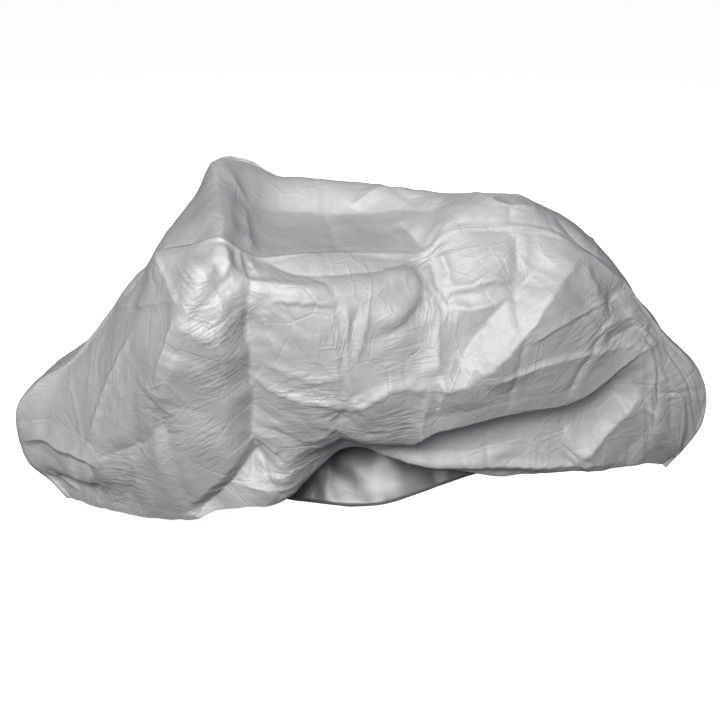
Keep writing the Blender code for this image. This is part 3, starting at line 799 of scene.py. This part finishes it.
@dataclass(frozen=True)
class FilmFinish:
    """Silver-pigmented film: a soft metallic sheen over fine crinkles."""
    colour: tuple[float, float, float]
    rub: tuple[float, float, float]      # where creases are rubbed paler
    metallic: float
    roughness: float
    crinkle: float                       # height of the fine crinkles, in metres
    # for each set of creases, its cells to a metre and its strength, below zero for sunk ones
    creases: tuple[tuple[float, float], ...] = ((5.0, 0.38), (10.0, -0.40), (19.0, 0.32))
    crease_width: float = 0.0045
    crease_bend: float = 0.012           # how much creases stray from straight lines
    worn: float = 0.35                   # how much of the rubbed colour shows
    dark: float = 0.955                  # the darkest tone, as a share of the colour
    wrinkle: tuple[float, float] = (0.100, 0.017)      # length and width of one wrinkle

    def creased(self, s: Shader) -> Signal:
        """Height of straight sharp creases, some raised and some sunk, in metres."""
        low, high, edge = 0.43, 0.55, 6.0       # where odd and even sets show, and how sharply
        drift = s.node("TexNoise", {}, vector=s.place, scale=7.0, detail=1.0)
        bent = s.node("Mix", {"data_type": "VECTOR"}, in_0=self.crease_bend, in_4=s.place,
                      in_5=s.out(drift, "Color"))
        shown = s.noise(scale=6.0, detail=1.0)
        total = 0.0
        for k, (scale, strength) in enumerate(self.creases):
            cells = s.node("TexVoronoi", {"feature": "DISTANCE_TO_EDGE"},
                           vector=s.out(bent, 1), scale=scale)
            line = s.clamped(1 - s.out(cells, "Distance") / (self.crease_width * scale))
            here = s.clamped((shown - low if k % 2 else high - shown) * edge)
            total = line * here * (self.crinkle * strength) + total
        return total

    def build(self, name: str) -> bpy.types.Material:
        """Makes the film's material."""
        material = bpy.data.materials.new(name)
        s = Shader(material)
        ridges, crinkles, grains = 0.9, 0.6, 0.05      # their heights, as shares of crinkle
        clouded, grained = 0.06, 0.05                  # how much rougher clouds and grains are
        cloud = s.noise(scale=5.0, detail=3.0)
        grain = s.noise(scale=420.0, rough=0.6)
        rubbed = s.clamped(s.attribute("crease")) * self.worn
        height = self.creased(s)
        for turn, mark in WRINKLE_TURNS.items():
            ridged = s.wrinkles(turn, *self.wrinkle)
            height = height + ridged * s.attribute(mark) * (self.crinkle * ridges)
        fine = s.noise(scale=60.0, detail=3.0, rough=0.6)
        height = height + fine * (self.crinkle * crinkles) + grain * (self.crinkle * grains)
        s.dress(base_color=s.blend(rubbed, s.tones(cloud, self.colour, self.dark), (*self.rub, 1)),
                roughness=self.roughness - grained + cloud * clouded + grain * grained,
                metallic=self.metallic, specular_ior_level=0.4,
                normal=s.bump(height, distance=1.0, strength=1.0))
        return material


@dataclass(frozen=True)
class ThreadFinish:
    """Grey polyester sewing thread, twisted, with painted shade in the grooves between its twists.
    """
    colour: tuple[float, float, float] = (0.42, 0.43, 0.45)
    # share of the colour left in the grooves between twists, as painted shade
    dark: float = 0.8
    twists: float = 700.0

    def build(self, name: str) -> bpy.types.Material:
        """Makes the thread's material."""
        material = bpy.data.materials.new(name)
        s = Shader(material)
        wave = s.node("TexWave", {"bands_direction": "DIAGONAL"}, vector=s.place,
                      scale=self.twists)
        twist_relief_and_shade = s.out(wave, "Fac")
        # the colour is darker where the twist's relief is low: painted shade in its grooves
        s.dress(base_color=s.tones(twist_relief_and_shade, self.colour, self.dark), roughness=0.75,
                normal=s.bump(twist_relief_and_shade, distance=0.0001, strength=0.5))
        return material


@dataclass(frozen=True)
class FloorFinish:
    """Plain pale studio floor."""
    colour: tuple[float, float, float] = (0.86, 0.86, 0.86)
    dark: float = 0.995
    glow: float = 0.85

    def build(self, name: str) -> bpy.types.Material:
        """Makes the floor's material."""
        material = bpy.data.materials.new(name)
        s = Shader(material)
        s.dress(base_color=s.tones(s.noise(scale=0.6), self.colour, self.dark), roughness=0.9,
                emission_color=(1.0, 1.0, 1.0, 1.0), emission_strength=self.glow)
        return material


OUTSIDE = FilmFinish(colour=(0.606, 0.608, 0.612), rub=(0.72, 0.725, 0.73), metallic=0.30,
                     roughness=0.67, crinkle=0.0020)
# The inner face and edges are painted dark grey as shade; the film is as silver inside as out.
INSIDE_PAINTED_SHADE = FilmFinish(colour=(0.24, 0.243, 0.246), rub=(0.28, 0.282, 0.286), metallic=0.40,
                    roughness=0.42, crinkle=0.0003)


class Seams:
    """The lines that all panels share, worked out from the strip's sections."""

    def __init__(self) -> None:
        """Works out the places of the columns and the strip's courses."""
        self.courses = np.array([section_courses(s) for s in STRIP])
        self.knots = chord_knots(self.courses.mean(axis=1))
        self.numbers = np.arange(len(STRIP))
        start, end = np.interp((FRONT_KNEE, REAR_KNEE), self.numbers, self.knots)
        # an even number, as the inner skin takes every second point
        columns = 2 * math.ceil((end - start) / (2 * COLUMN))
        self.top = np.interp(np.linspace(start, end, columns + 1), self.knots, self.numbers)
        self.nose = np.linspace(0, FRONT_KNEE, ROWS + 1)
        self.tail = np.linspace(REAR_KNEE, len(STRIP) - 1, ROWS + 1)

    @property
    def all(self) -> Array:
        """Section numbers of all columns, from front hem to rear hem."""
        return np.concatenate((self.nose[:-1], self.top, self.tail[1:]))

    def line(self, course: int, places: Array) -> Array:
        """Points of one of the strip's courses.

        Args:
            course: 0 for the near seam, 3 for the far one.
            places: section numbers, with fractions.

        Returns:
            One point for each place.
        """
        t = np.interp(places, self.numbers, self.knots)
        return spline(self.knots, self.courses[:, course], t)


class Edge(Enum):
    """An edge of a panel's grid: the axis that it closes, and whether it lies at the end."""
    FRONT = (0, False)
    REAR = (0, True)
    TOP = (1, False)
    BOTTOM = (1, True)


def from_edges(grid: Array, edges: Iterable[Edge]) -> Array:
    """Distance over the film of each point of a grid to the nearest of some edges."""
    gaps = []
    for edge in edges:
        axis, at_end = edge.value
        run = run_along(grid, axis)
        gaps.append(np.take(run, [-1], axis=axis) - run if at_end else run)
    return np.min(gaps, axis=0)


@dataclass
class Panel:
    """A panel of film: its sizes, its shape and its mesh."""
    name: str
    node: str
    facing: float                        # 1 where rows cross columns outward, else -1
    flat: tuple[float, float]            # the rectangle that it is cut from
    area: float                          # how much of that rectangle it is
    seed: int
    seams: tuple[Edge, ...] = ()
    hems: tuple[Edge, ...] = ()
    axes: tuple[int, int] = (0, 2)
    outermost: tuple[int, float] = (1, -1.0)
    folds: Sequence[Fold] = ()
    pinches: Sequence[Pinch] = ()
    crumples: Sequence[Crumple] = ()
    dents: tuple[tuple[float, float], ...] = ((0.170, 11.0), (0.085, 5.0), (0.040, 1.8))
    calm: float = 0.35                   # share of the dents' height that is left between patches
    seam_dip: float = 0.0020             # how far stitches draw film in beside a seam
    dip_at: float = 0.011                # how far from the seam that is
    dip_width: float = 0.007
    plain: float = 0.010                 # how far from a seam folds reach their full height
    hem_extra: float = 0.0006            # how much thicker film is at a turned-in hem
    hem_step: float = 0.004              # over what width it gets so
    proud: float = 0.0006                # height over the points around it that marks a crease
    grid: Array = field(default=None, repr=False)

    @property
    def normals(self) -> Array:
        """Outward normals of the finished outer skin."""
        return normals_of(self.grid) * self.facing

    def surface(self, seams: Seams) -> Array:
        """The panel's plain outer points, columns by rows."""
        raise NotImplementedError

    def heights(self, grid: Array, outward: Array) -> Array:
        """How far folds, pinches, wrinkles and dents push each point outward."""
        elevation = Elevation(grid, outward, self.axes, self.outermost)
        height = sum(elevation.fold(f) for f in self.folds)
        height = height + sum(elevation.pinch(p) for p in self.pinches)
        for k, patch in enumerate(self.crumples):
            height = height + elevation.crumple(patch, self.seed + k)
        u, v = run_along(grid, 0), run_along(grid, 1)
        shown = patches(grid, self.seed + Seed.ROUGH, often=3.1, below=0.30, edge=0.6)
        rough = self.calm + (1 - self.calm) * shown
        for k, (size, tall) in enumerate(self.dents):
            height = height + facets(u, v, size, self.seed + Seed.DENTS + k) * tall * MM * rough
        off = from_edges(grid, self.seams)
        pucker = varied(0.7, 0.8, grid, self.seed + Seed.PUCKER, often=31)
        drawn_in = self.seam_dip * pucker * np.exp(-((off - self.dip_at) / self.dip_width)**2)
        return (height - drawn_in) * smooth(off / self.plain)

    def wrinkled(self, grid: Array) -> dict[str, Array]:
        """How strongly fine wrinkles of each direction mark each point."""
        faint = 0.10                     # marks outside of the placed patches
        marks = {mark: faint * patches(grid, self.seed + turn, often=5.3, below=0.1, edge=0.5)
                 for turn, mark in WRINKLE_TURNS.items()}
        uneven = varied(0.75, 0.5, grid, self.seed + Seed.MARKS, often=13)
        for patch in self.crumples:
            u, v, reach = metres(patch[:3])
            mark = WRINKLE_TURNS[min(WRINKLE_TURNS, key=lambda t: abs(t - patch.turn))]
            off = np.hypot(grid[..., self.axes[0]] - u, grid[..., self.axes[1]] - v)
            marks[mark] = np.maximum(marks[mark], smooth(1 - off / reach) * uneven)
        return marks

    def inner_skin(self) -> Array:
        """The film's inner points, one for every second outer one, all below the outer skin."""
        grid = self.grid
        outward = softened(self.normals, rounds=20)
        outward /= np.linalg.norm(outward, axis=2, keepdims=True)
        padded = np.pad(grid, ((1, 1), (1, 1), (0, 0)), mode="edge")
        around = [padded[i:i + grid.shape[0], j:j + grid.shape[1]]
                  for i in range(3) for j in range(3)]
        depth = np.max([((grid - near) * outward).sum(axis=2) for near in around], axis=0)
        double = smooth((HEM - from_edges(grid, self.hems)) / self.hem_step)
        thick = FILM + self.hem_extra * double + depth
        return (grid - outward * thick[..., None])[::2, ::2]

    def build(self, seams: Seams, outside: bpy.types.Material,
              inside: bpy.types.Material) -> bpy.types.Object:
        """Args:
            seams: the lines that it shares with the other panels.
            outside: finish of its outer face.
            inside: finish of its inner face, painted dark grey as shade.

        Returns:
            The panel's object.
        """
        grid = self.surface(seams)
        outward = normals_of(grid) * self.facing
        height = self.heights(grid, outward)
        self.grid = sway(grid + outward * height[..., None])
        crease = np.clip(laplacian(height) / self.proud, 0, 1)
        panel = sheet_object(self.name, self.grid, self.inner_skin(), self.facing > 0,
                             {"crease": crease, **self.wrinkled(self.grid)})
        panel.data.materials.append(outside)
        panel.data.materials.append(inside)
        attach(panel, "root")
        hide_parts(self.node)
        LOG.info("%s: %d columns by %d rows, %.2f square metres", self.name, *grid.shape[:2],
                 grid_area(self.grid))
        return panel


def neighbours(values: Array) -> Array:
    """The sum of the four values around each one of a grid."""
    padded = np.pad(values, [(1, 1), (1, 1), (0, 0)][:values.ndim], mode="edge")
    return padded[2:, 1:-1] + padded[:-2, 1:-1] + padded[1:-1, 2:] + padded[1:-1, :-2]


def laplacian(height: Array) -> Array:
    """How much each point stands proud of its neighbours."""
    return height - neighbours(height) / 4


def softened(values: Array, rounds: int) -> Array:
    """A grid of values, each drawn towards its neighbours a number of times."""
    for _ in range(rounds):
        values = (neighbours(values) + 4 * values) / 8
    return values


def grid_area(grid: Array) -> float:
    """Area of a grid of points."""
    across, down = np.diff(grid, axis=0)[:, :-1], np.diff(grid, axis=1)[:-1]
    return float(np.linalg.norm(np.cross(across, down), axis=2).sum())


def sway(points: Array) -> Array:
    """The points moved a little by a smooth drift in space, the same for every panel."""
    apart = 5                            # how far the noise of two axes lies apart
    moved = points
    for often, far, seed in ((8, 0.0035, Seed.SWAY), (28, 0.0009, Seed.SWAY_FINE)):
        drift = np.stack([noise(points * often + apart * k, seed + k) for k in range(3)], axis=-1)
        moved = moved + drift * far
    return moved


def halves(cells: Array, points: Array) -> Array:
    """Four-cornered cells cut in two triangles each, along their shorter diagonals."""
    a, b, c, d = (points[cells[:, k]] for k in range(4))
    other = np.linalg.norm(c - a, axis=1) > np.linalg.norm(d - b, axis=1)
    first = np.where(other[:, None], cells[:, (0, 1, 3)], cells[:, (0, 1, 2)])
    second = np.where(other[:, None], cells[:, (1, 2, 3)], cells[:, (0, 2, 3)])
    return np.concatenate((first, second))


def cells_of(index: Array) -> Array:
    """The four corners of every cell of a grid of numbers."""
    return np.stack((index[:-1, :-1], index[1:, :-1], index[1:, 1:], index[:-1, 1:]),
                    axis=-1).reshape(-1, 4)


def rim_of(index: Array) -> Array:
    """The numbers round a grid's edge, in order."""
    return np.concatenate((index[:-1, 0], index[-1, :-1], index[:0:-1, -1], index[0, :0:-1]))


def placed(name: str, data: bpy.types.ID) -> bpy.types.Object:
    """A new object of the scene that shows the data."""
    thing = bpy.data.objects.new(name, data)
    bpy.context.scene.collection.objects.link(thing)
    return thing


def sheet_object(name: str, outer: Array, inner: Array, flip: bool,
                 numbers: dict[str, Array]) -> bpy.types.Object:
    """One closed sheet between two grids of points.

    Args:
        name: the object's name.
        outer: outer points, columns by rows, an even number of cells each way.
        inner: inner points, one for every second outer one.
        flip: whether the rows run the other way round.
        numbers: values for the shader at each outer point.

    Returns:
        The object. Its outer faces have the first material, all others the second.
    """
    over = np.arange(outer.shape[0] * outer.shape[1]).reshape(outer.shape[:2])
    under = over.size + np.arange(inner.shape[0] * inner.shape[1]).reshape(inner.shape[:2])
    points = np.concatenate((outer.reshape(-1, 3), inner.reshape(-1, 3)))
    top = halves(cells_of(over), points)
    bottom = halves(cells_of(under), points)[:, ::-1]
    fine, coarse = rim_of(over), rim_of(under)
    start, middle, end = fine[::2], fine[1::2], np.roll(fine[::2], -1)
    after = np.roll(coarse, -1)
    rim = [np.stack(corners, axis=-1) for corners in
           ((start, coarse, middle), (middle, coarse, after), (middle, after, end))]
    faces = np.concatenate((top, bottom, *rim))
    if not flip:
        faces = faces[:, ::-1]
    mesh = bpy.data.meshes.new(name)
    mesh.from_pydata((points - SADDLE).tolist(), [], faces.tolist())
    inner_ones = np.arange(len(faces)) >= len(top)
    mesh.polygons.foreach_set("material_index", inner_ones.astype(np.int32))
    for key, values in numbers.items():
        store = mesh.attributes.new(key, "FLOAT", "POINT")
        both = np.concatenate((values.ravel(), values[::2, ::2].ravel()))
        store.data.foreach_set("value", both.astype(np.float32))
    mesh.update()
    mesh.shade_smooth()
    return placed(name, mesh)


@dataclass
class CentreStrip(Panel):
    """The strip from the front hem over the top to the rear hem."""
    seams: tuple[Edge, ...] = (Edge.TOP, Edge.BOTTOM)
    hems: tuple[Edge, ...] = (Edge.FRONT, Edge.REAR)

    def surface(self, seams: Seams) -> Array:
        """The panel's plain outer points, columns by rows."""
        lines = [seams.line(course, seams.all) for course in range(4)]
        return np.array([down_rib(np.array(line), STRIP_ROWS) for line in zip(*lines)])


class Rib(NamedTuple):
    """A line down a side of the cover."""
    section: int                  # the strip's section that it hangs from
    between: Sequence[float]      # y and z of each course, one after the other
    hem: Sequence[float]          # x, y and z
    bow: float = 0.0              # how far its middle lies forward or back

    def courses(self, seam: Array) -> Array:
        """All its courses, from a point of the seam."""
        courses = [seam]
        for y, z in zip(self.between[::2], self.between[1::2]):
            down = (seam[2] - z) / (seam[2] - self.hem[2])
            x = seam[0] + (self.hem[0] - seam[0]) * down + self.bow * 4 * down * (1 - down)
            courses.append((x, y, z))
        return np.array([*courses, self.hem])


@dataclass
class Side(Panel):
    """A side of the cover, hung from one of the strip's seams."""
    seams: tuple[Edge, ...] = (Edge.TOP, Edge.FRONT, Edge.REAR)
    hems: tuple[Edge, ...] = (Edge.BOTTOM,)
    course: int = 0                      # the strip's course that is its seam
    ribs: Sequence[Rib] = ()
    shares: tuple[int, ...] = ()         # how the rows are shared out between the courses
    settle: float = 4.0                  # how soon below the seam the ribs alone shape it

    def surface(self, seams: Seams) -> Array:
        """The panel's plain outer points, columns by rows."""
        rows = [share * ROWS // sum(self.shares) for share in self.shares]
        ribs = [down_rib(rib.courses(seams.courses[rib.section, self.course]), rows)
                for rib in self.ribs]
        front = seams.line(self.course, seams.nose[::-1])
        rear = seams.line(self.course, seams.tail)
        ribs = np.array((front, *ribs, rear))
        knots = chord_knots(ribs.mean(axis=1))
        sections = (FRONT_KNEE, *(rib.section for rib in self.ribs), REAR_KNEE)
        t = np.interp(seams.top, sections, knots)
        grid = np.stack([spline(knots, ribs[:, j], t) for j in range(ROWS + 1)], axis=1)
        fade = (1 - np.linspace(0, 1, ROWS + 1))[None, :, None]**self.settle
        grid += (seams.line(self.course, seams.top) - grid[:, 0])[:, None, :] * fade
        grid[0], grid[-1] = front, rear
        return grid


Line = tuple[Array, Array]      # points of a line on the film, and outward normals there


@dataclass
class Stitching:
    """A row of stitches: short threads that lie on the film."""
    material: bpy.types.Material
    pitch: float = 0.0055
    length: float = 0.0040
    thick: float = 0.0007
    sink: float = 0.6               # how deep the ends dive in, in thicknesses
    rise: float = 0.2               # how high the middle lies, in thicknesses

    def build(self, name: str, lines: Iterable[Line]) -> bpy.types.Object:
        """Makes the stitches along one or more lines."""
        points, faces = [], []
        for line, normals in lines:
            knots = chord_knots(line)
            for t in np.arange(self.pitch, knots[-1] - self.pitch, self.pitch):
                a, b = (self.at(knots, line, t + way * self.length / 2) for way in (-1, 1))
                self.stitch(points, faces, a, b, self.at(knots, normals, t))
        mesh = bpy.data.meshes.new(name)
        mesh.from_pydata((np.array(points) - SADDLE).tolist(), [], faces)
        mesh.materials.append(self.material)
        mesh.shade_smooth()
        thing = placed(name, mesh)
        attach(thing, "root")
        faces_each = 12
        LOG.info("%s: %d stitches", name, len(faces) // faces_each)
        return thing

    @staticmethod
    def at(knots: Array, values: Array, t: float) -> Array:
        """The value at a place along a line."""
        return np.array([np.interp(t, knots, values[:, c]) for c in range(3)])

    def stitch(self, points: list[Array], faces: list[tuple[int, ...]], a: Array, b: Array,
               normal: Array) -> None:
        """Adds one stitch from a to b: a four-sided thread that dives in at both ends."""
        along = (b - a) / np.linalg.norm(b - a)
        side = np.cross(normal, along)
        side /= np.linalg.norm(side)
        first = len(points)
        sunk = normal * self.thick * self.sink
        points.append(a - sunk)
        for share in (0.25, 0.75):
            centre = a + (b - a) * share + normal * self.thick * self.rise
            for turn in range(4):
                angle = math.pi / 2 * turn
                points.append(centre + (side * math.cos(angle) + normal * math.sin(angle))
                              * self.thick / 2)
        points.append(b - sunk)
        for k in range(4):
            m = (k + 1) % 4
            faces.append((first, first + 1 + m, first + 1 + k))
            faces.append((first + 1 + k, first + 1 + m, first + 5 + m, first + 5 + k))
            faces.append((first + 5 + k, first + 5 + m, first + 9))


def inset(grid: Array, normals: Array, distance: float) -> Line:
    """The line over a grid at one distance from its first row, with the normals there."""
    gone = run_along(grid, 1)
    row = np.clip((gone < distance).sum(axis=1) - 1, 0, grid.shape[1] - 2)
    pick = np.arange(len(grid))
    step = np.maximum(gone[pick, row + 1] - gone[pick, row], TINY)
    share = np.clip((distance - gone[pick, row]) / step, 0, 1)[:, None]
    points, outward = (values[pick, row] * (1 - share) + values[pick, row + 1] * share
                       for values in (grid, normals))
    return points, outward


@dataclass
class Cover:
    """The whole cover: three panels and the stitches along their seams and hems."""
    near: Side
    far: Side
    strip: CentreStrip
    seam_to_stitch: float = 0.005
    hem_to_stitch: float = 0.016

    def build(self) -> None:
        """Builds and declares every piece."""
        seams = Seams()
        # the inner faces and edges are painted dark grey as shade
        outside, inside = OUTSIDE.build("film_outside"), INSIDE_PAINTED_SHADE.build("film_inside_painted_shade")
        strip, near, far = (panel.build(seams, outside, inside)
                            for panel in (self.strip, self.near, self.far))
        thread = Stitching(ThreadFinish().build("sewing_thread"))
        thread.build("seam_stitches", self.seam_lines())
        thread.build("hem_stitches", self.hem_lines())

    def seam_lines(self) -> list[Line]:
        """Lines along both seams, on the strip."""
        grid, normals = self.strip.grid, self.strip.normals
        return [inset(grid, normals, self.seam_to_stitch),
                inset(grid[:, ::-1], normals[:, ::-1], self.seam_to_stitch)]

    def hem_lines(self) -> list[Line]:
        """Lines along the hems of all three panels."""
        grid, normals = (values.swapaxes(0, 1) for values in (self.strip.grid, self.strip.normals))
        sides = [inset(side.grid[:, ::-1], side.normals[:, ::-1], self.hem_to_stitch)
                 for side in (self.near, self.far)]
        return [*sides, inset(grid, normals, self.hem_to_stitch),
                inset(grid[:, ::-1], normals[:, ::-1], self.hem_to_stitch)]


class Softbox(NamedTuple):
    """A soft light: where it stands, where it points, and its power in watts."""
    name: str
    at: tuple[float, float, float]
    to: tuple[float, float, float]
    power: float


@dataclass
class Studio:
    """A pale floor with its edges turned up, soft lights and the camera.

    Places here are told from the part's own origin.
    """
    floor_z: float = -SADDLE[2]
    floor_size: float = 60.0
    wall_height: float = 40.0
    camera_at: tuple[float, float, float] = (-0.300, -2.640, 0.770)
    look_down: float = 25.0
    lens: float = 53.55
    sensor: float = 36.0
    lights: tuple[Softbox, ...] = (
        Softbox("front_light", (-0.9, -3.5, 1.95), (-0.3, 0.0, -0.40), 176),
        Softbox("back_light", (-0.2, 3.8, 0.10), (-0.3, 0.0, -0.45), 75),
    )
    light_size: tuple[float, float] = (1.8, 1.2)
    light_around: float = 0.145
    light_below: float = 0.06
    sky: tuple[float, float, float, float] = (0.88, 0.96, 1.06, 1.0)

    def build(self) -> None:
        """Makes everything that isn't the cover."""
        self.floor()
        self.camera()
        for box in self.lights:
            self.light(box)
        self.world()
        scene = bpy.context.scene
        scene.view_settings.view_transform = "Standard"
        scene.view_settings.look = "None"

    def floor(self) -> None:
        """Makes the floor that the bicycle would stand on, and walls far off all round."""
        half = self.floor_size / 2
        mesh = bpy.data.meshes.new("studio_floor")
        corners = [(x * half, y * half, z) for z in (self.floor_z, self.floor_z + self.wall_height)
                   for x, y in ((-1, -1), (1, -1), (1, 1), (-1, 1))]
        walls = [(k, k + 4, (k + 1) % 4 + 4, (k + 1) % 4) for k in range(4)]
        mesh.from_pydata(corners, [], [(0, 1, 2, 3), *walls])
        mesh.materials.append(FloorFinish().build("studio_floor"))
        floor = placed("studio_floor", mesh)
        floor.visible_diffuse = floor.visible_glossy = False

    def camera(self) -> None:
        """Makes the camera."""
        data = bpy.data.cameras.new("camera")
        data.lens, data.sensor_width = self.lens, self.sensor
        camera = placed("camera", data)
        camera.location = self.camera_at
        camera.rotation_euler = (math.radians(90 - self.look_down), 0.0, 0.0)
        bpy.context.scene.camera = camera

    def light(self, box: Softbox) -> None:
        """Makes one softbox."""
        data = bpy.data.lights.new(box.name, "AREA")
        data.shape, data.energy = "RECTANGLE", box.power
        data.size, data.size_y = self.light_size
        lamp = placed(box.name, data)
        lamp.location = box.at
        lamp.rotation_euler = (Vector(box.to) - Vector(box.at)).to_track_quat("-Z", "Y").to_euler()
        lamp.visible_camera = False

    def world(self) -> None:
        """Lights everything a little from all round, and hardly from below."""
        world = bpy.data.worlds.new("studio")
        s = Shader(world, "Background")
        direction = s.out(s.node("TexCoord"), "Generated")
        up = s.out(s.node("SeparateXYZ", {}, vector=direction), "Z")
        ramp = s.node("MapRange", {}, value=up, from_min=-0.30, from_max=0.15,
                      to_min=self.light_below, to_max=self.light_around)
        s.dress(strength=s.out(ramp), color=self.sky)
        bpy.context.scene.world = world


def main() -> None:
    """Builds the cover and its studio."""
    logging.basicConfig(level=logging.INFO, format="%(name)s: %(message)s")
    cover = Cover(
        near=Side("near_side_film", "near_side", facing=-1.0, flat=(2.30, 1.10), area=1.80, seed=11,
                  folds=NEAR_FOLDS, pinches=NEAR_PINCHES, crumples=NEAR_CRUMPLES,
                  shares=NEAR_SHARES,
                  ribs=[Rib(section, between=row[:8], hem=row[8:11], bow=row.bow)
                        for section, row in enumerate(NEAR, FRONT_KNEE + 1)]),
        far=Side("far_side_film", "far_side", facing=1.0, flat=(2.30, 1.10), area=1.80, seed=12,
                 outermost=(1, 1.0), folds=FAR_FOLDS, course=3, shares=FAR_SHARES,
                 ribs=[Rib(row.section, between=row[1:5], hem=row[5:]) for row in FAR]),
        strip=CentreStrip("centre_strip_film", "centre_strip", facing=1.0, flat=(2.95, 0.42),
                          area=1.10, seed=13, axes=(0, 1), outermost=(2, 1.0),
                          folds=STRIP_FOLDS),
    )
    cover.build()
    Studio().build()


if __name__ == "__main__":
    main()
